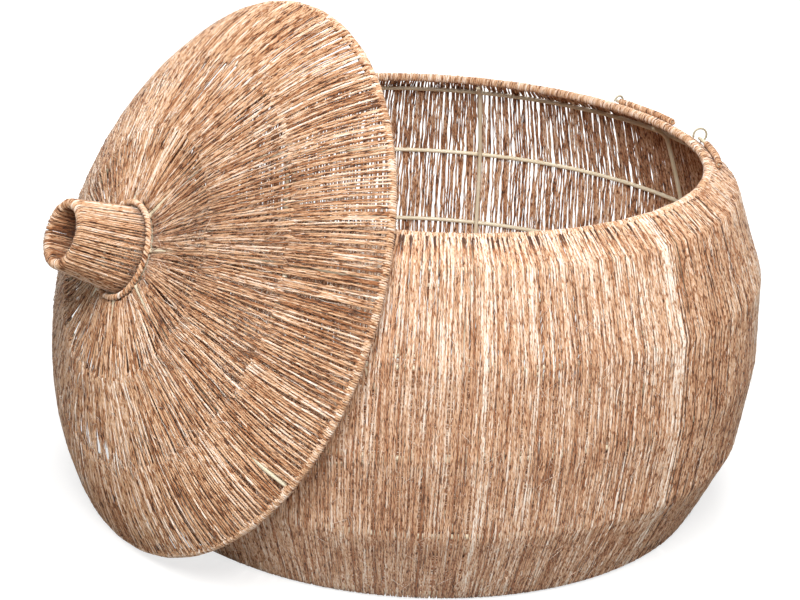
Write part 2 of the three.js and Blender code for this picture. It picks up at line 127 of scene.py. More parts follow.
def twineMaterial(name, stops, fibre, gap, gapShade):
    material, tree, shader = newMaterial(
        name, yarn["roughness"],
        {"Sheen Weight": yarn["sheen"], "Sheen Roughness": yarn["sheenRoughness"]})
    tone = addNode(tree, "ShaderNodeAttribute", {"attribute_name": "tone"})
    coords = addNode(tree, "ShaderNodeTexCoord")
    along = addNode(tree, "ShaderNodeUVMap", {"uv_map": "lay"})
    patches = addNode(tree, "ShaderNodeTexNoise", {"Scale": 1 / (yarn["patch"] * mm), "Detail": 2.0},
                      {"Vector": coords.outputs["Object"]})
    patchStep = addNode(tree, "ShaderNodeMath",
                        {"operation": "MULTIPLY_ADD", 1: yarn["patchTone"], 2: -yarn["patchTone"] / 2},
                        {0: patches.outputs["Fac"]})
    fibreMap = addNode(tree, "ShaderNodeMapping", {"Scale": (yarn["fibresRound"], 1 / (fibre * mm), 1.0)},
                       {"Vector": along.outputs["UV"]})
    fibres = addNode(tree, "ShaderNodeTexNoise", {"Scale": 1.0, "Detail": 4.0},
                     {"Vector": fibreMap.outputs["Vector"]})
    fibreStep = addNode(tree, "ShaderNodeMath",
                        {"operation": "MULTIPLY_ADD", 1: yarn["fibreTone"], 2: -yarn["fibreTone"] / 2},
                        {0: fibres.outputs["Fac"]})
    # painted shade: fine dark gaps between fibres, drawn a little coarser than they are so that they show
    gapMap = addNode(tree, "ShaderNodeMapping",
                     {"Location": yarn["gapShift"], "Scale": (yarn["gapsRound"], 1 / (gap * mm), 1.0)},
                     {"Vector": along.outputs["UV"]})
    gaps = addNode(tree, "ShaderNodeTexNoise", {"Scale": 1.0, "Detail": 2.0},
                   {"Vector": gapMap.outputs["Vector"]})
    gapStep = addNode(tree, "ShaderNodeMapRange",
                      {"From Min": yarn["gapNoise"][0], "From Max": yarn["gapNoise"][1],
                       "To Min": gapShade, "To Max": 0.0},
                      {"Value": gaps.outputs["Fac"]})
    # the two plies wind round each other once in each lay; the wave bumps them and paints a little light and shade on
    # them
    parts = addNode(tree, "ShaderNodeSeparateXYZ", {}, {"Vector": along.outputs["UV"]})
    turns = addNode(tree, "ShaderNodeMath", {"operation": "MULTIPLY_ADD", 1: 1 / (yarn["lay"] * mm)},
                    {0: parts.outputs["Y"], 2: parts.outputs["X"]})
    phase = addNode(tree, "ShaderNodeMath", {"operation": "MULTIPLY", 1: 4 * math.pi},
                    {0: turns.outputs["Value"]})
    wave = addNode(tree, "ShaderNodeMath", {"operation": "SINE"}, {0: phase.outputs["Value"]})
    total = addNode(tree, "ShaderNodeMath", {"operation": "ADD"},
                    {0: tone.outputs["Fac"], 1: patchStep.outputs["Value"]})
    for step in (fibreStep.outputs["Value"], gapStep.outputs["Result"]):
        total = addNode(tree, "ShaderNodeMath", {"operation": "ADD"}, {0: total.outputs["Value"], 1: step})
    total = addNode(tree, "ShaderNodeMath", {"operation": "MULTIPLY_ADD", 1: yarn["layShading"]},
                    {0: wave.outputs["Value"], 2: total.outputs["Value"]})
    ramp = addNode(tree, "ShaderNodeValToRGB", {}, {"Fac": total.outputs["Value"]})
    setRamp(ramp, stops)
    tree.links.new(ramp.outputs["Color"], shader.inputs["Base Color"])
    height = addNode(tree, "ShaderNodeMath", {"operation": "MULTIPLY_ADD", 1: yarn["layHeight"]},
                     {0: wave.outputs["Value"], 2: fibres.outputs["Fac"]})
    bump = addNode(tree, "ShaderNodeBump", {"Strength": yarn["bump"], "Distance": yarn["bumpDepth"] * mm},
                   {"Height": height.outputs["Value"]})
    tree.links.new(bump.outputs["Normal"], shader.inputs["Normal"])
    return material


# Cream enamel on drawn steel wire: smooth, half gloss, a little uneven and rubbed
enamel = {"coat": 0.1, "cloud": 22.0, "darkAt": 0.3, "lightAt": 0.65, "grain": 1.2, "bump": 0.15, "bumpDepth": 0.1}


def enamelMaterial(name, light, dark, roughness):
    material, tree, shader = newMaterial(name, roughness, {"Coat Weight": enamel["coat"]})
    coords = addNode(tree, "ShaderNodeTexCoord")
    cloud = addNode(tree, "ShaderNodeTexNoise", {"Scale": 1 / (enamel["cloud"] * mm), "Detail": 5.0},
                    {"Vector": coords.outputs["Object"]})
    ramp = addNode(tree, "ShaderNodeValToRGB", {}, {"Fac": cloud.outputs["Fac"]})
    setRamp(ramp, [(enamel["darkAt"], dark), (enamel["lightAt"], light)])
    tree.links.new(ramp.outputs["Color"], shader.inputs["Base Color"])
    grain = addNode(tree, "ShaderNodeTexNoise", {"Scale": 1 / (enamel["grain"] * mm), "Detail": 2.0},
                    {"Vector": coords.outputs["Object"]})
    bump = addNode(tree, "ShaderNodeBump", {"Strength": enamel["bump"], "Distance": enamel["bumpDepth"] * mm},
                   {"Height": grain.outputs["Fac"]})
    tree.links.new(bump.outputs["Normal"], shader.inputs["Normal"])
    return material


strawStops = [(0.0, "#4f2d18"), (0.29, "#a46a42"), (0.57, "#deb591"), (0.84, "#fef1e2")]
honeyStops = [(0.0, "#472612"), (0.29, "#9f653b"), (0.58, "#dcb28b"), (0.86, "#fceada")]
juteTwine = twineMaterial("jute twine", strawStops, fibre=7.5, gap=4.6, gapShade=-0.46)
combedTwine = twineMaterial("combed jute twine", honeyStops, fibre=10.0, gap=6.0, gapShade=-0.48)
creamEnamel = enamelMaterial("cream enamel", "#f0e6cd", "#e0d2b2", 0.45)
# painted shade: the eye loops' enamel is a darker cream than the frame's
shadedEnamel = enamelMaterial("shaded cream enamel", "#c8bda4", "#a3977c", 0.5)
print("materials made")

# strands: round cords along rows of points, each with its own tone
strandSides = 5
layStart = 4.0  # metres, the range in which each strand's lay map starts


def makeStrands(name, paths, outward, radius, tone, sides, material, matrix=None):
    paths = np.asarray(paths, float) * mm
    count, steps = paths.shape[:2]
    outward = np.broadcast_to(np.asarray(outward, float), paths.shape)
    radius = np.broadcast_to(np.asarray(radius, float), (count, steps)) * mm
    tone = np.broadcast_to(np.asarray(tone, float), (count, steps))
    run = np.gradient(paths, axis=1)
    run /= np.linalg.norm(run, axis=2, keepdims=True)
    across = np.cross(run, outward)
    across /= np.linalg.norm(across, axis=2, keepdims=True)
    up = np.cross(across, run)
    angle = 2 * np.pi * np.arange(sides) / sides
    ring = up[:, :, None, :] * np.cos(angle)[None, None, :, None]
    ring = ring + across[:, :, None, :] * np.sin(angle)[None, None, :, None]
    points = paths[:, :, None, :] + radius[:, :, None, None] * ring
    index = np.arange(count * steps * sides).reshape(count, steps, sides)
    turned = np.roll(index, -1, axis=2)
    quads = np.stack([index[:, :-1], turned[:, :-1], turned[:, 1:], index[:, 1:]], axis=-1).reshape(-1, 4)
    caps = np.concatenate([index[:, 0, ::-1], index[:, -1]])
    mesh = bpy.data.meshes.new(name)
    mesh.from_pydata(points.reshape(-1, 3).tolist(), [], quads.tolist() + caps.tolist())
    # the lay map runs round the strand and along it, in metres, and each strand starts at its own place
    length = np.linalg.norm(np.diff(paths, axis=1), axis=2)
    length = np.concatenate([np.zeros((count, 1)), np.cumsum(length, axis=1)], axis=1)
    length = length + np.random.default_rng(count).uniform(0, layStart, (count, 1))
    u0 = np.broadcast_to(np.arange(sides) / sides, (count, steps - 1, sides))
    v0 = np.broadcast_to(length[:, :-1, None], u0.shape)
    v1 = np.broadcast_to(length[:, 1:, None], u0.shape)
    quadMap = np.stack([u0, v0, u0 + 1 / sides, v0, u0 + 1 / sides, v1, u0, v1], axis=-1)
    uv = np.concatenate([quadMap.reshape(-1), np.zeros(caps.size * 2)])
    mesh.uv_layers.new(name="lay").data.foreach_set("uv", uv)
    tones = mesh.attributes.new("tone", "FLOAT", "POINT")
    tones.data.foreach_set("value", np.repeat(tone.reshape(-1), sides))
    mesh.polygons.foreach_set("use_smooth", np.ones(len(mesh.polygons), bool))
    if matrix is not None:
        mesh.transform(matrix)
    mesh.materials.append(material)
    mesh.update()
    piece = bpy.data.objects.new(name, mesh)
    scene.collection.objects.link(piece)
    return piece


def place(piece, body, slot, *nodes):
    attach(piece, body)
    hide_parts(*nodes)
    return piece


# a row of (radius, height) points turned to each of many angles round Z
def turnRow(row, angles):
    row = np.asarray(row, float)
    angles = np.asarray(angles, float)
    if angles.ndim == 1:
        angles = angles[:, None]
    x = row[..., 0] * np.cos(angles)
    y = row[..., 0] * np.sin(angles)
    z = np.broadcast_to(row[..., 1], x.shape)
    return np.stack([x, y, z], axis=-1)


# hoop centres moved outwards by a distance, with mitred corners
def offsetRow(row, distance, turn):
    row = np.asarray(row, float)
    run = np.diff(row, axis=0)
    run /= np.linalg.norm(run, axis=1, keepdims=True)
    side = np.stack([-run[:, 1], run[:, 0]], axis=1) * turn
    before = np.concatenate([side[:1], side])
    after = np.concatenate([side, side[-1:]])
    corner = before + after
    corner /= np.linalg.norm(corner, axis=1, keepdims=True)
    return row + corner * (distance / np.sum(corner * after, axis=1))[:, None]


def arcRow(centre, radius, start, end, steps):
    angle = np.radians(np.linspace(start, end, steps))
    return np.stack([centre[0] + radius * np.cos(angle), centre[1] + radius * np.sin(angle)], axis=1)


# how strands bunch and part: waves round the object that drift from hoop to hoop
mostDrift = 2.2


def bunching(angles, level, waves, strength, seed):
    rng = np.random.default_rng(seed)
    shift = np.zeros_like(angles)
    for count in waves:
        start, drift = rng.uniform(0, 2 * np.pi), rng.uniform(-mostDrift, mostDrift)
        shift += strength / count * np.sin(count * angles + start + drift * level)
    return shift


# uneven yarn: a soft random value for each strand that changes along it, once in each knot
def alongNoise(rng, total, lengths, knot):
    knots = np.arange(lengths[0], lengths[-1] + knot, knot)
    values = rng.uniform(-1, 1, (total, len(knots)))
    return np.array([np.interp(lengths, knots, row) for row in values])


# wire frame: hand-bent hoops, never quite round
frameWire = {"radius": 1.7, "mouthRadius": 1.5, "around": 150, "sides": 10, "bent": 0.06, "tone": 0.5}


def wireHoop(node, radius, height, wire, body, matrix=None):
    bpy.ops.object.select_all(action="DESELECT")
    bpy.ops.mesh.primitive_torus_add(
        major_radius=radius * mm, minor_radius=wire * mm, major_segments=frameWire["around"],
        minor_segments=frameWire["sides"], location=(0, 0, height * mm))
    piece = bpy.context.object
    piece.name = node + "_wire"
    bpy.ops.object.transform_apply(location=True)
    bpy.ops.object.mode_set(mode="EDIT")
    bpy.ops.mesh.select_all(action="SELECT")
    bpy.ops.transform.vertex_random(offset=frameWire["bent"] * mm, seed=int(radius))
    bpy.ops.object.mode_set(mode="OBJECT")
    bpy.ops.object.shade_smooth()
    if matrix is not None:
        piece.data.transform(matrix)
    piece.data.materials.append(creamEnamel)
    return place(piece, body, "wire", node)


def wireRun(node, points, radius, body, matrix=None, outward=(0, 0, 1), finish=creamEnamel):
    piece = makeStrands(node + "_wire", [points], outward, radius, frameWire["tone"], frameWire["sides"],
                        finish, matrix)
    return place(piece, body, "wire", node)


for node, radius, height in basketHoops:
    wireHoop(node, radius, height, frameWire["radius"], "basket")
for node, radius, height in lidHoops:
    wireHoop(node, radius, height, frameWire["radius"], "lid", lidFrame)
wireHoop(*mouthHoop, frameWire["mouthRadius"], "lid", lidFrame)

# a rib crosses the hoops on the inside and stops just short of the wound edge
ribs = {
    "inset": 3.7, "smooth": 6, "ease": 0.25,
    "sideTurns": (-8, 32, 80, 120, 160, 200, 240, 280, 320), "sideTrim": 4.0, "sideTilt": 0.2,
    "lidCount": 8, "lidTurn": 18.0, "lidTrim": 2.5, "nearEdge": 0.38,
    "lidInsets": (3.7, 3.7, 3.7, 3.7, -1.2, -1.8),
    "bareRib": 1, "bareInsets": (0.4, -4.3, 3.7, 3.7, -1.2, -1.8),
}
lidRibAngles = math.radians(ribs["lidTurn"]) + 2 * np.pi * np.arange(ribs["lidCount"]) / ribs["lidCount"]


def ribRow(centres, turn, trim, insets):
    row = np.array([offsetRow(centres, -inset, turn)[i] for i, inset in enumerate(insets)])
    first = row[1] - row[0]
    row[0] = row[0] + first / np.linalg.norm(first) * trim
    points = []
    for i in range(len(row) - 1):
        before, after = row[max(i - 1, 0)], row[min(i + 2, len(row) - 1)]
        leave, arrive = (row[i + 1] - before) * ribs["ease"], (after - row[i]) * ribs["ease"]
        for s in np.arange(ribs["smooth"]) / ribs["smooth"]:
            points.append((2 * s**3 - 3 * s**2 + 1) * row[i] + (s**3 - 2 * s**2 + s) * leave
                          + (-2 * s**3 + 3 * s**2) * row[i + 1] + (s**3 - s**2) * arrive)
    return np.array(points + [row[-1]])


sideRib = ribRow(basketCentres, 1, ribs["sideTrim"], [ribs["inset"]] * len(basketCentres))
for i, turn in enumerate(ribs["sideTurns"]):
    angle = math.radians(turn)
    facing = (np.cos(angle), np.sin(angle), ribs["sideTilt"])
    wireRun(f"side_rib_{i + 1}", turnRow(sideRib, [angle])[0], frameWire["radius"], "basket", None, facing)
# the lid's ribs come up through the twine half way along the inner band, and one shows near the edge as well
nearEdge = lidCentres[0] * (1 - ribs["nearEdge"]) + lidCentres[1] * ribs["nearEdge"]
halfWay = lidCentres[2:].mean(axis=0)
ribCentres = np.array([lidCentres[0], nearEdge, lidCentres[1], lidCentres[2], halfWay, lidCentres[3]])
for i, angle in enumerate(lidRibAngles):
    insets = ribs["bareInsets" if i == ribs["bareRib"] else "lidInsets"]
    lidRib = ribRow(ribCentres, -1, ribs["lidTrim"], insets)
    wireRun(f"lid_rib_{i + 1}", turnRow(lidRib, [angle])[0], frameWire["radius"], "lid", lidFrame)

baseBars = {"turn": 15.0, "reach": 208.4, "start": 2.0, "height": 4.0, "steps": 9}
for node, turn, start in (
    ("base_bar_long", 0, -baseBars["reach"]),
    ("base_bar_left", 90, baseBars["start"]),
    ("base_bar_right", 270, baseBars["start"]),
):
    barRow = [(r, baseBars["height"]) for r in np.linspace(start, baseBars["reach"], baseBars["steps"])]
    angle = math.radians(baseBars["turn"] + turn)
    wireRun(node, turnRow(barRow, [angle])[0], frameWire["radius"], "basket")

struts = {"count": 4, "radius": 1.2, "foot": (27.0, 73.6), "top": (20.6, 118.2), "steps": 6, "tilt": 0.1}
strutRow = np.linspace(struts["foot"], struts["top"], struts["steps"])
for i in range(struts["count"]):
    angle = math.radians(ribs["lidTurn"]) + 2 * np.pi * i / struts["count"]
    facing = (np.cos(angle), np.sin(angle), struts["tilt"])
    wireRun(f"knob_strut_{i + 1}", turnRow(strutRow, [angle])[0], struts["radius"], "lid", lidFrame, facing)
print("wire frame made")

# side twine: strands down the outside of the hoops, hooked over the rim and under the base
# a value for each run goes round from the first rib: the back is strung thinner and less evenly than the front
# a pair of rows gives hoops down from the rim, and the value there
sideTwine = {
    "runTurns": (-8, 32, 80, 120, 160, 200, 240, 280, 315.5),
    "pitch": (1.75, 1.92, 2.0, 1.95, 1.85, 1.27, 1.24, 1.24, 1.44),
    "crowd": (1.0, 1.22, 1.0, 1.0, 1.0, 1.0, 1.0, 1.0, 1.0),
    "bunch": (0.2, 0.2, 0.2, 0.2, 0.2, 0.17, 0.17, 0.17, 0.34),
    "radius": (0.9, 0.9, 0.9, 0.9, 0.9, 0.72, 0.72, 0.72, 0.74),
    "shake": (0.45, 0.7, 0.7, 0.7, 0.5, 0.3, 0.3, 0.3, 0.4),
    "uneven": (0.24, 0.42, 0.44, 0.42, 0.3, 0.16, 0.16, 0.16, 0.18),
    # painted shade: the last run, on the front right, is set darker than its neighbours
    "tone": (0.63, 0.68, 0.68, 0.68, 0.7, 0.735, 0.735, 0.735, 0.59),
    "ribTone": (0.1, 0.1, 0.1, 0.1, 0.1, 0.1, 0.1, 0.12, 0.19),
    "underFloor": (0.3, 0.1, 0.1, 0.1, 0.15, 0.2, 0.2, 0.2, 0.65),
    # painted highlight: the front runs are paler about the shoulder, where the key light falls
    "shoulderHighlight": (0, 0, 0, 0, 0, 0.08, 0.09, 0.08, 0.02),
    "lift": 2.65, "layer": 1.2, "jitter": 0.4, "girth": (0.85, 1.12), "tilt": 0.15,
    "steps": 12, "rimSteps": 6, "hook": 2.5, "rimHook": (80, 20), "baseHook": (-70, -140),
    "depthKnot": 16.0, "shakeKnot": 8.5, "girthKnot": 6.0,
    "deepShade": 0.41, "toneSpread": 0.05, "ribReach": 6.0,
    # underShade darkens the strands that lie under the rim bunches, painted shade
    "under": 0.28, "underShade": 0.42, "underFade": (0.25, 0.55), "overDepth": 0.6,
    "bunchOf": (3, 7), "rimPull": ((0, 0.17, 0.34, 0.6), (0.4, 0.3, 0.1, 0.0)),
    "freedom": ((0, 1, 2, 5), (0.3, 0.8, 1.0, 1.0)),
    "shoulderFade": ((0.4, 0.9, 1.7, 2.6), (0, 1, 1, 0)),
    "layerFade": ((0, 0.3, 4.7, 5), (0.4, 1, 1, 0.2)),
    "waves": (137, 199, 283, 383), "waveSeed": 5, "seed": 110,
}


# rows of (radius, height) points from the rim to the base, and how many hoops down each row is
def sideRows():
    skin = offsetRow(basketCentres, sideTwine["lift"], 1)
    rows = list(arcRow(basketCentres[0], sideTwine["hook"], *sideTwine["rimHook"], 2))
    levels = [0.0, 0.0]
    for i in range(len(skin) - 1):
        count = sideTwine["rimSteps"] if i == 0 else sideTwine["steps"]
        for s in np.arange(1, count + 1) / count:
            rows.append(skin[i] * (1 - s) + skin[i + 1] * s)
            levels.append(i + s)
    rows += list(arcRow(basketCentres[-1], sideTwine["hook"], *sideTwine["baseHook"], 2))
    return np.array(rows), levels + [levels[-1]] * 2


def makeSideRun(i):
    rng = np.random.default_rng(sideTwine["seed"] + i)
    turns = sideTwine["runTurns"] + (sideTwine["runTurns"][0] + 360,)
    start, end = math.radians(turns[i]), math.radians(turns[i + 1])
    total = round((end - start) * bellyRadius / sideTwine["pitch"][i])
    rest = start + (end - start) * ((np.arange(total) + 0.5) / total) ** sideTwine["crowd"][i]
    # the strands leave the rim in bunches of three to six, over a few that lie under them
    bunch = np.repeat(np.arange(total), rng.integers(*sideTwine["bunchOf"], total))[:total]
    middle = np.array([rest[bunch == b].mean() for b in bunch])
    under = rng.random(total) < sideTwine["under"]
    rows, levels = sideRows()
    lengths = np.concatenate([[0], np.cumsum(np.linalg.norm(np.diff(rows, axis=0), axis=1))])
    depth = (alongNoise(rng, total, lengths, sideTwine["depthKnot"]) + 1) / 2
    shake = alongNoise(rng, total, lengths, sideTwine["shakeKnot"]) * sideTwine["shake"][i]
    wander = rng.normal(0, 1, (len(basketHoops) + 1, total))
    angles, reach, shade = [], [], []
    for k, (row, level) in enumerate(zip(rows, levels)):
        pull = np.interp(level, *sideTwine["rimPull"]) * ~under
        free = np.interp(level, *sideTwine["freedom"])
        low = int(level)
        drift = wander[low] * (1 - level + low) + wander[low + 1] * (level - low)
        shift = free * bunching(rest, level, sideTwine["waves"], sideTwine["bunch"][i], sideTwine["waveSeed"])
        shift += (drift * sideTwine["jitter"] + shake[:, k] * free) / row[0]
        angles.append(rest + (middle - rest) * pull + shift)
        near = np.interp(level, sideTwine["underFade"], [1, sideTwine["underFloor"][i]])
        over = sideTwine["overDepth"] + (1 - sideTwine["overDepth"]) * depth[:, k]
        depth[:, k] = depth[:, k] * (1 - near) + near * np.where(under, 0.0, over)
        # painted highlight: the front runs are paler about the shoulder hoop
        paintedHighlight = sideTwine["shoulderHighlight"][i] * np.interp(level, *sideTwine["shoulderFade"])
        # painted shade: strands under the rim bunches are darker
        shade.append(paintedHighlight - sideTwine["underShade"] * near * under)
        reach.append(depth[:, k] * sideTwine["layer"] * np.interp(level, *sideTwine["layerFade"]))
    angles = np.array(angles).T
    reach = np.array(reach).T
    outer = np.stack([rows[:, 0] + reach, np.broadcast_to(rows[:, 1], reach.shape)], axis=-1)
    facing = np.stack([np.cos(angles), np.sin(angles), np.full_like(angles, sideTwine["tilt"])], axis=-1)
    facing[:, :2, 2] = 1.0  # over the rim the strands face up
    # painted shade: strands that lie deeper are darker
    tone = rng.normal(sideTwine["tone"][i], sideTwine["toneSpread"], (total, 1))
    tone = tone - sideTwine["deepShade"] * (1 - depth) + np.array(shade).T
    # the strands over each rib are paler
    for rib, beside in ((i, rest - start), (i + 1, end - rest)):
        rub = sideTwine["ribTone"][rib % len(sideTwine["ribTone"])]
        tone = tone + rub * np.exp(-(beside * bellyRadius / sideTwine["ribReach"]) ** 2)[:, None]
    girth = rng.uniform(*sideTwine["girth"], (total, 1))
    girth = girth + alongNoise(rng, total, lengths, sideTwine["girthKnot"]) * sideTwine["uneven"][i]
    piece = makeStrands(f"side_strands_{i + 1}", turnRow(outer, angles), facing, girth * sideTwine["radius"][i],
                        tone, strandSides, juteTwine)
    place(piece, "basket", "twine", f"side_twine_{i + 1}")


for i in range(len(sideTwine["runTurns"])):
    makeSideRun(i)
print("side twine strung")

# wound edges: one or more strands coiled round a hoop, in steps for each turn
winding = {"steps": 8, "wave": 0.05, "waves": 37, "noise": 0.025, "girth": (0.92, 1.08), "tone": 0.62,
           "toneSpread": 0.1}


def makeCoil(name, ringRadius, ringHeight, coil, strand, turns, seed, plies=1, perTurn=winding["steps"],
             span=(0.0, 360.0), tone=winding["tone"], matrix=None):
    rng = np.random.default_rng(seed)
    steps = int(turns * perTurn)
    along = np.linspace(0, 1, steps + 1)
    ring = np.radians(span[0] + (span[1] - span[0]) * along)
    paths, facing = [], []
    for s in range(plies):
        spin = 2 * np.pi * (turns * along + s / plies)
        wobble = 1 + winding["wave"] * np.sin(ring * winding["waves"] + s)
        wobble = wobble + rng.normal(0, winding["noise"], steps + 1)
        r = ringRadius + coil * wobble * np.cos(spin)
        z = ringHeight + coil * wobble * np.sin(spin)
        paths.append(np.stack([r * np.cos(ring), r * np.sin(ring), z], axis=-1))
        facing.append(np.stack([np.cos(spin) * np.cos(ring), np.cos(spin) * np.sin(ring), np.sin(spin)], axis=-1))
    tones = np.repeat(rng.normal(0, 1, (plies, int(turns) + 2)), perTurn, axis=1)[:, :steps + 1]
    tones = tone + winding["toneSpread"] * tones
    girth = strand * rng.uniform(*winding["girth"], (plies, steps + 1))
    return makeStrands(name, paths, facing, girth, tones, strandSides, combedTwine, matrix)


edges = {"coil": 2.7, "strand": 0.8, "turns": 800, "lidCoil": 2.55, "lidStrand": 0.76, "lidTurns": 790}
rimCoil = makeCoil("rim_coil", *basketCentres[0], edges["coil"], edges["strand"], edges["turns"], seed=21)
place(rimCoil, "basket", "twine", "rim_wrap")
lidCoil = makeCoil("lid_rim_coil", *lidCentres[0], edges["lidCoil"], edges["lidStrand"], edges["lidTurns"], seed=22,
                   matrix=lidFrame)
place(lidCoil, "lid", "twine", "lid_rim_wrap")
print("edges wound")

# base twine: strands side by side across the base hoop
baseTwine = {"pitch": 1.75, "radius": 0.9, "edge": 206.0, "reach": 210.5, "height": 1.05, "jitter": 0.2, "steps": 7,
             "tone": 0.5, "toneSpread": 0.18, "seed": 31}


def makeBaseTwine():
    rng = np.random.default_rng(baseTwine["seed"])
    offsets = np.arange(-baseTwine["edge"], baseTwine["edge"] + 0.1, baseTwine["pitch"])
    offsets = offsets + rng.normal(0, baseTwine["jitter"], len(offsets))
    half = np.sqrt(baseTwine["reach"] ** 2 - offsets**2)
    x = half[:, None] * np.linspace(-1, 1, baseTwine["steps"])
    y = offsets[:, None] + rng.normal(0, baseTwine["jitter"], x.shape)
    z = np.full_like(x, baseTwine["height"])
    tone = np.clip(rng.normal(baseTwine["tone"], baseTwine["toneSpread"], (len(offsets), 1)), 0, 1)
    piece = makeStrands("base_strands", np.stack([x, y, z], axis=-1), (0, 0, 1), baseTwine["radius"], tone,
                        strandSides, juteTwine)
    place(piece, "basket", "twine", "base_twine")


makeBaseTwine()
print("base strung")

# eyes: a wire loop across the rim, a rod along it from the loop, and twine that binds the rod
eyes = {"loop": 5.2, "loopSteps": 28, "wire": 0.8, "rod": 1.3, "rodSpan": (0.5, -18.0), "rodSteps": 24,
        "lashEnd": -18.4, "lashPitch": 1.52, "lashStrand": 0.75, "lashGap": 0.6, "lashTone": 0.52, "lashSeed": 41}
eyePairs = [
    {"name": "left", "turn": 44.6, "centre": (205.0, 258.0), "arc": (-40.9, 163.3), "rodPlace": (205.11, 258.81),
     "lashStart": -0.4},
    {"name": "right", "turn": 14.8, "centre": (207.4, 260.3), "arc": (-81.5, 196.9), "rodPlace": (207.94, 257.5),
     "lashStart": -4.0},
]
for eye in eyePairs:
    loop = arcRow(eye["centre"], eyes["loop"], *eye["arc"], eyes["loopSteps"])
    angle = math.radians(eye["turn"])
    facing = (-math.sin(angle), math.cos(angle), 0)
    # the loop takes the darker enamel, painted shade
    wireRun(f"eye_{eye['name']}", turnRow(loop, [angle])[0], eyes["wire"], "basket", None, facing, shadedEnamel)
    spans = np.radians(eye["turn"] + np.linspace(*eyes["rodSpan"], eyes["rodSteps"]))
    rod = turnRow([eye["rodPlace"]] * eyes["rodSteps"], spans[None])[0]
    wireRun(f"eye_rod_{eye['name']}", rod, eyes["rod"], "basket")
    lashLength = math.radians(eye["lashStart"] - eyes["lashEnd"]) * eye["rodPlace"][0]
    lash = makeCoil(f"eye_lash_{eye['name']}", *eye["rodPlace"], eyes["rod"] + eyes["lashGap"], eyes["lashStrand"],
                    round(lashLength / eyes["lashPitch"]), seed=eyes["lashSeed"],
                    span=(eye["turn"] + eye["lashStart"], eye["turn"] + eyes["lashEnd"]), tone=eyes["lashTone"])
    place(lash, "basket", "twine", f"eye_lashing_{eye['name']}")
print("eyes made")

# lid twine: three rings of strands, each tied to its own pair of hoops
# a pair of values is for the outer and the inner end of a strand
lidTwine = {
    "lift": 2.6, "radius": 0.73, "girth": (0.88, 1.1), "uneven": 0.14, "girthKnot": 11.0,
    "layer": 0.7, "layerEnds": 0.15, "depthKnot": 22.0, "steps": 7,
    "rimBulge": 2.5, "bulge": 0.4, "rimStart": 1.5, "start": -0.8, "neckStop": -6.0, "stop": 0.8,
    "dips": (2.0, 2.2), "past": (-2.6, 1.2), "ragged": 1.3,
    "pair": 0.42, "pairFade": 0.7, "jitter": 0.22, "bunch": 0.24, "parting": 3.0, "partingReach": 6.0,
    "tone": 0.71, "deepShade": 0.38, "toneSpread": 0.09,
}
# parting: how far the strands stand aside at each rib, from the first rib round, at the band's outer and inner end
lidBands = [
    {"node": "lid_twine_outer", "from": 0, "to": 1, "strands": 590, "waves": (83, 131, 197), "seed": 51,
     "outerParting": (0, 1.6, 0, 0, 0.3, 0, 0, 0), "innerParting": (0, 0, 0, 0, 0, 0, 0, 0)},
    {"node": "lid_twine_middle", "from": 1, "to": 2, "strands": 404, "waves": (59, 89, 131), "seed": 52,
     "outerParting": (0, 0, 0.2, 0, 0, 0, 0.3, 0), "innerParting": (0, 0, 0, 0, 0, 0, 0, 0)},
    {"node": "lid_twine_inner", "from": 2, "to": 3, "strands": 226, "waves": (31, 47, 71), "seed": 53,
     "outerParting": (0, 0.2, 0, 0, 0.2, 0, 0, 0.2), "innerParting": (0.7, 0.8, 0.9, 0.9, 0.8, 0.3, 0.5, 0.6)},
]
# slits low on the left of the middle band, where the strands stand in groups and light comes through
lidSlits = {"node": "lid_twine_middle", "turn": 2.0, "reach": 13.0, "group": 6, "pull": 0.95, "leastPull": 0.5,
            "along": 0.19, "spread": 0.14, "seed": 58}


# the shorter way round from one angle to others
def angleBeside(angles, middle):
    return np.mod(angles - middle + np.pi, 2 * np.pi) - np.pi


def slitPull(rest, pitch):
    rng = np.random.default_rng(lidSlits["seed"])
    group = np.floor(rest / (pitch * lidSlits["group"])).astype(int)
    middle = (group + 0.5) * pitch * lidSlits["group"]
    beside = angleBeside(rest, math.radians(lidSlits["turn"]))
    pull = lidSlits["pull"] * rng.uniform(lidSlits["leastPull"], 1.0, group.max() + 1)[group]
    return pull * np.exp(-(beside / math.radians(lidSlits["reach"])) ** 2) * (middle - rest)


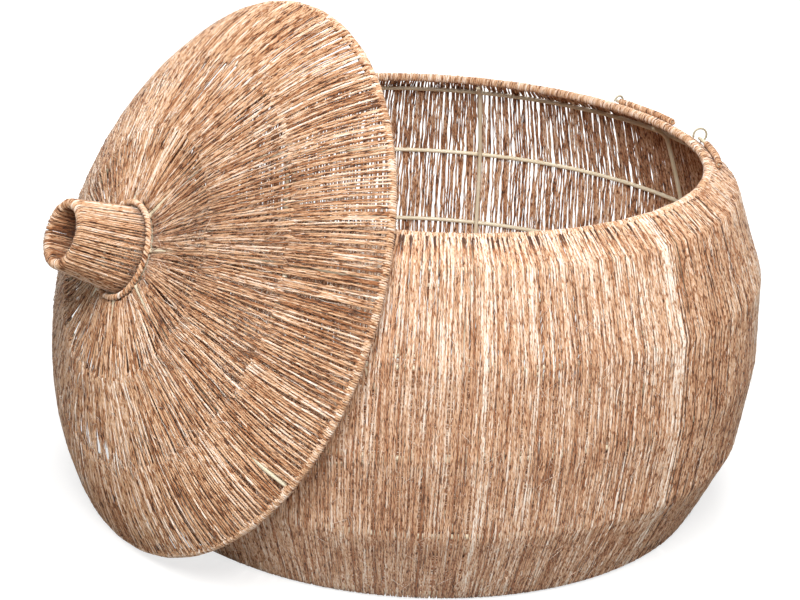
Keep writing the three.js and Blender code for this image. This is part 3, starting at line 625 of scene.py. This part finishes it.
def makeLidTwine(band):
    rng = np.random.default_rng(band["seed"])
    total = band["strands"]
    pitch = 2 * np.pi / total
    rest = pitch * (np.arange(total) + 0.5)
    toPair = np.where(np.arange(total) % 2 == 0, 0.5, -0.5) * pitch  # strands go over the outer hoop in pairs
    a, b = lidCentres[band["from"]], lidCentres[band["to"]]
    length = np.linalg.norm(b - a)
    run = (b - a) / length
    out = np.array([run[1], -run[0]])
    atRim, atNeck = band["from"] == 0, band["to"] == len(lidHoops) - 1
    start = lidTwine["rimStart" if atRim else "start"]
    stop = length + lidTwine["neckStop" if atNeck else "stop"]
    bulge = lidTwine["rimBulge" if atRim else "bulge"]
    ragged = rng.uniform(-1, 1, (2, total)) * lidTwine["ragged"]
    drift = rng.normal(0, lidTwine["jitter"], (2, total))
    # both ends dip round their hoop
    shares = np.concatenate([[0], np.linspace(0, 1, lidTwine["steps"]), [1]])
    depth = (alongNoise(rng, total, shares * length, lidTwine["depthKnot"]) + 1) / 2
    dips, past = np.zeros((2, len(shares)))
    dips[[0, -1]] = lidTwine["dips"]
    past[[0, -1]] = lidTwine["past"]
    angles, paths = [], []
    for k, (s, dip, over) in enumerate(zip(shares, dips, past)):
        along = start + (stop - start) * s + ragged[0] * (1 - s) + ragged[1] * s + over
        rise = lidTwine["lift"] + bulge * np.sin(np.pi * np.clip(along / length, 0, 1)) - dip
        inner = min(max(s, lidTwine["layerEnds"]), 1 - lidTwine["layerEnds"])
        rise = rise + depth[:, k] * lidTwine["layer"] * math.sin(math.pi * inner)
        row = a + run * along[:, None] + out * rise[:, None]
        shift = toPair * lidTwine["pair"] * (1 - lidTwine["pairFade"] * s)
        shift += (drift[0] * (1 - s) + drift[1] * s) / row[:, 0]
        shift += bunching(rest, 2 * s, band["waves"], lidTwine["bunch"], band["seed"])
        if band["node"] == lidSlits["node"]:
            shift += slitPull(rest, pitch) * math.exp(-((s - lidSlits["along"]) / lidSlits["spread"]) ** 2)
        for i, rib in enumerate(lidRibAngles):
            part = band["outerParting"][i] * max(0, 1 - 2 * s) + band["innerParting"][i] * max(0, 2 * s - 1)
            beside = angleBeside(rest, rib) * row[:, 0]
            aside = np.sign(beside) * np.exp(-(beside / lidTwine["partingReach"]) ** 2)
            shift += part * lidTwine["parting"] * aside / row[:, 0]
        angle = rest + shift
        angles.append(angle)
        paths.append(np.stack([row[:, 0] * np.cos(angle), row[:, 0] * np.sin(angle), row[:, 1]], axis=-1))
    angles = np.array(angles).T
    paths = np.transpose(np.array(paths), (1, 0, 2))
    facing = np.stack([np.cos(angles) * out[0], np.sin(angles) * out[0], np.full_like(angles, out[1])], axis=-1)
    # painted shade: strands that lie deeper are darker
    tone = rng.normal(lidTwine["tone"], lidTwine["toneSpread"], (total, 1)) - lidTwine["deepShade"] * (1 - depth)
    girth = rng.uniform(*lidTwine["girth"], (total, 1))
    girth = girth + alongNoise(rng, total, shares * length, lidTwine["girthKnot"]) * lidTwine["uneven"]
    piece = makeStrands(band["node"] + "_strands", paths, facing, girth * lidTwine["radius"], tone, strandSides,
                        combedTwine, lidFrame)
    place(piece, "lid", "twine", band["node"])


for band in lidBands:
    makeLidTwine(band)
print("lid strung")

# knob: strands up its side, over the lip and down into the hollow
# a pair of rows gives shares of the way along a strand, and the value there
knob = {
    "strands": 114, "radius": 0.65, "girth": (0.9, 1.15), "sides": 6, "seed": 61,
    "foot": (29.3, 73.7), "wallSteps": 5, "lip": 2.75, "lipSteps": 6, "inside": (112.0, 98.0),
    "layer": (-0.25, 0.35), "twist": 0.05, "jitter": 0.35, "jitterRadius": 26.0,
    "waves": (13, 23, 37), "waveSeed": 62, "bunch": 0.4, "bunchFade": ((0, 0.3, 0.6), (1, 0.7, 0.2)),
    "tone": 0.58, "toneSpread": 0.13, "hollowShade": ((0.7, 0.85), (0, -0.25)),
}


def makeKnob():
    rng = np.random.default_rng(knob["seed"])
    total = knob["strands"]
    rest = 2 * np.pi * np.arange(total) / total
    lip = arcRow(mouthHoop[1:], knob["lip"], 0, 180, knob["lipSteps"])
    wall = np.linspace(knob["foot"], lip[0], knob["wallSteps"])
    inside = np.array([[lip[-1][0], height] for height in knob["inside"]])
    rows = np.concatenate([wall, lip[1:], inside])
    slope = np.gradient(rows, axis=0)
    out = np.stack([slope[:, 1], -slope[:, 0]], axis=1)
    layer = rng.uniform(*knob["layer"], (total, 1, 1))
    outer = rows[None] + out / np.linalg.norm(out, axis=1, keepdims=True) * layer
    share = np.linspace(0, 1, len(rows))
    drift = rng.normal(0, knob["jitter"], (total, 2))
    drift = drift[:, :1] * (1 - share) + drift[:, 1:] * share
    angles = rest[:, None] + knob["twist"] * (1 - 2 * share) + drift / knob["jitterRadius"]
    bunch = bunching(rest, 0, knob["waves"], knob["bunch"], knob["waveSeed"])
    angles = angles + bunch[:, None] * np.interp(share, *knob["bunchFade"])
    facing = np.stack([np.cos(angles) * out[:, 0], np.sin(angles) * out[:, 0],
                       np.broadcast_to(out[:, 1], angles.shape)], axis=-1)
    # painted shade: the strands darken where they go down into the hollow
    tone = rng.normal(knob["tone"], knob["toneSpread"], (total, 1)) + np.interp(share, *knob["hollowShade"])
    girth = knob["radius"] * rng.uniform(*knob["girth"], (total, 1))
    piece = makeStrands("knob_strands", turnRow(outer, angles), facing, girth, tone, knob["sides"], combedTwine,
                        lidFrame)
    place(piece, "lid", "twine", "knob_twine")


makeKnob()

# a two-ply cord laid round the foot of the knob
neckCord = {"ring": 33.0, "height": 75.5, "ply": 1.1, "strand": 1.2, "turns": 32, "perTurn": 10, "seed": 71}
neckRing = makeCoil("neck_cord_plies", neckCord["ring"], neckCord["height"], neckCord["ply"], neckCord["strand"],
                    neckCord["turns"], neckCord["seed"], 2, neckCord["perTurn"], matrix=lidFrame)
place(neckRing, "lid", "twine", "neck_cord")
print("knob bound")

# loose fibres: stray plies that lie along the strands and close gaps here and there, and fine hairs that stand off
# a row of four values goes along a fibre
looseFibres = {
    "plies": {"count": 7500, "radius": (0.22, 0.45), "length": (9, 30), "slant": 0.11, "depth": (-0.5, 1.1),
              "tone": 0.58},
    "hairs": {"count": 2200, "radius": (0.09, 0.15), "length": (6, 16), "slant": 1.2, "depth": (0.6, 1.3),
              "tone": 0.8, "stand": 2.2},
    "steps": (-0.5, -0.17, 0.17, 0.5), "taper": (0.5, 1, 1, 0.5), "bowShape": (0, 1, 1, 0),
    "standShape": (0, 0, 0.3, 1.0), "bow": 0.05, "toneSpread": 0.2, "sides": 3, "rimClear": 4, "footClear": 6,
}


def makeFibres(name, centres, turn, lift, share, seed, body, matrix=None):
    rng = np.random.default_rng(seed)
    skin = offsetRow(centres, lift, turn)
    run = np.diff(skin, axis=0)
    length = np.linalg.norm(run, axis=1)
    out = np.stack([-run[:, 1], run[:, 0]], axis=1) * turn / length[:, None]
    weight = length * (skin[:-1, 0] + skin[1:, 0])
    ends = np.concatenate([[0], np.cumsum(length)])
    steps = np.array(looseFibres["steps"])
    for kind in ("plies", "hairs"):
        fibre = looseFibres[kind]
        count = int(fibre["count"] * share)
        size = rng.uniform(*fibre["length"], count)
        girth = rng.uniform(*fibre["radius"], (count, 1)) * np.array(looseFibres["taper"])
        band = rng.choice(len(length), count, p=weight / weight.sum())
        middle = ends[band] + rng.uniform(0, 1, count) * length[band]
        middle = np.clip(middle, size / 2 + looseFibres["rimClear"], ends[-1] - size / 2 - looseFibres["footClear"])
        # plies keep close to the run of the strands, hairs go any way
        if kind == "plies":
            slant = rng.normal(0, fibre["slant"], count)
        else:
            slant = rng.uniform(-fibre["slant"], fibre["slant"], count)
        bow = rng.normal(0, looseFibres["bow"], count) * size
        around = rng.uniform(0, 2 * np.pi, count)
        depth = rng.uniform(*fibre["depth"], count)
        stand = rng.uniform(0, fibre["stand"], count) if "stand" in fibre else np.zeros(count)
        down = middle[:, None] + steps * (size * np.cos(slant))[:, None]
        aside = steps * (size * np.sin(slant))[:, None] + bow[:, None] * np.array(looseFibres["bowShape"])
        r = np.interp(down, ends, skin[:, 0])
        z = np.interp(down, ends, skin[:, 1])
        outward = out[np.searchsorted(ends[1:-1], down)]
        rise = depth[:, None] + stand[:, None] * np.array(looseFibres["standShape"])
        row = np.stack([r, z], axis=-1) + outward * rise[..., None]
        angles = around[:, None] + aside / r
        facing = np.stack([np.cos(angles) * outward[..., 0], np.sin(angles) * outward[..., 0], outward[..., 1]],
                          axis=-1)
        tone = np.clip(rng.normal(fibre["tone"], looseFibres["toneSpread"], (count, 1)), 0, 1)
        piece = makeStrands(f"{name}_{kind}", turnRow(row, angles), facing, girth, tone, looseFibres["sides"],
                            juteTwine, matrix)
        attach(piece, body)


makeFibres("side", basketCentres, 1, lift=2.9, share=1.0, seed=81, body="basket")
makeFibres("lid", lidCentres, -1, lift=3.0, share=0.4, seed=82, body="lid", matrix=lidFrame)
print("loose fibres laid")

# floor, light and camera, in metres
studio = {
    "floor": "#9c9b99", "floorSize": 40, "floorRoughness": 0.9, "fadeFrom": 0.3, "fadeTo": 0.9,
    "nearGlow": 0.74, "farGlow": 1.0, "ambient": 0.18, "aim": (0, 0, 0.15),
    "key": {"place": (0.02, -1.3, 1.42), "power": 38.0, "size": 0.9},
    "back": {"place": (0.2, 1.15, 2.2), "power": 36.0, "size": 1.2},
}
white = (1, 1, 1, 1)


# 1 where the camera sees a surface, straight or by way of gloss or glass
def seenPart(tree):
    rays = addNode(tree, "ShaderNodeLightPath")
    seen = addNode(tree, "ShaderNodeMath", {"operation": "MAXIMUM"},
                   {0: rays.outputs["Is Camera Ray"], 1: rays.outputs["Is Glossy Ray"]})
    return addNode(tree, "ShaderNodeMath", {"operation": "MAXIMUM"},
                   {0: seen.outputs["Value"], 1: rays.outputs["Is Transmission Ray"]})


bpy.ops.object.select_all(action="DESELECT")
bpy.ops.mesh.primitive_plane_add(size=studio["floorSize"])
floor = bpy.context.object
floor.name = "studio_floor"
# White paper sweep: matt, and it fades to plain white away from the object and its shadow
paper, paperTree, paperShader = newMaterial("white paper sweep", studio["floorRoughness"],
                                            {"Base Color": linear(studio["floor"]), "Emission Color": white})
paperSeen = seenPart(paperTree)
paperCoords = addNode(paperTree, "ShaderNodeTexCoord")
away = addNode(paperTree, "ShaderNodeVectorMath", {"operation": "LENGTH"}, {0: paperCoords.outputs["Object"]})
fade = addNode(paperTree, "ShaderNodeMapRange",
               {"From Min": studio["fadeFrom"], "From Max": studio["fadeTo"],
                "To Min": studio["nearGlow"], "To Max": studio["farGlow"]},
               {"Value": away.outputs["Value"]})
glow = addNode(paperTree, "ShaderNodeMath", {"operation": "MULTIPLY"},
               {0: paperSeen.outputs["Value"], 1: fade.outputs["Result"]})
paperTree.links.new(glow.outputs["Value"], paperShader.inputs["Emission Strength"])
floor.data.materials.append(paper)

world = bpy.data.worlds.new("studio")
scene.world = world
world.use_nodes = True
sky = world.node_tree
skySeen = seenPart(sky)
skyLight = addNode(sky, "ShaderNodeMath",
                   {"operation": "MULTIPLY_ADD", 1: 1 - studio["ambient"], 2: studio["ambient"]},
                   {0: skySeen.outputs["Value"]})
sky.nodes["Background"].inputs["Color"].default_value = white
sky.links.new(skyLight.outputs["Value"], sky.nodes["Background"].inputs["Strength"])

for name in ("key", "back"):
    softbox = bpy.data.lights.new(name + "_softbox", "AREA")
    softbox.energy = studio[name]["power"]
    softbox.shape = "DISK"
    softbox.size = studio[name]["size"]
    lamp = bpy.data.objects.new(name + "_softbox", softbox)
    lamp.location = studio[name]["place"]
    toAim = Vector(studio["aim"]) - Vector(studio[name]["place"])
    lamp.rotation_euler = toAim.to_track_quat("-Z", "Y").to_euler()
    scene.collection.objects.link(lamp)

view = {"lens": 92.12, "sensor": 36, "place": (0, -1.43464, 0.67878), "yaw": -0.0122, "pitch": 0.3623, "roll": 0.0507}
forward = Vector((math.sin(view["yaw"]) * math.cos(view["pitch"]),
                  math.cos(view["yaw"]) * math.cos(view["pitch"]), -math.sin(view["pitch"])))
level = Vector((math.cos(view["yaw"]), -math.sin(view["yaw"]), 0))
upright = level.cross(forward)
right = math.cos(view["roll"]) * level + math.sin(view["roll"]) * upright
above = -math.sin(view["roll"]) * level + math.cos(view["roll"]) * upright
cameraData = bpy.data.cameras.new("photo_camera")
cameraData.lens = view["lens"]
cameraData.sensor_width = view["sensor"]
camera = bpy.data.objects.new("photo_camera", cameraData)
camera.matrix_world = Matrix.Translation(view["place"]) @ Matrix((right, above, -forward)).transposed().to_4x4()
scene.collection.objects.link(camera)
scene.camera = camera
print("studio set")
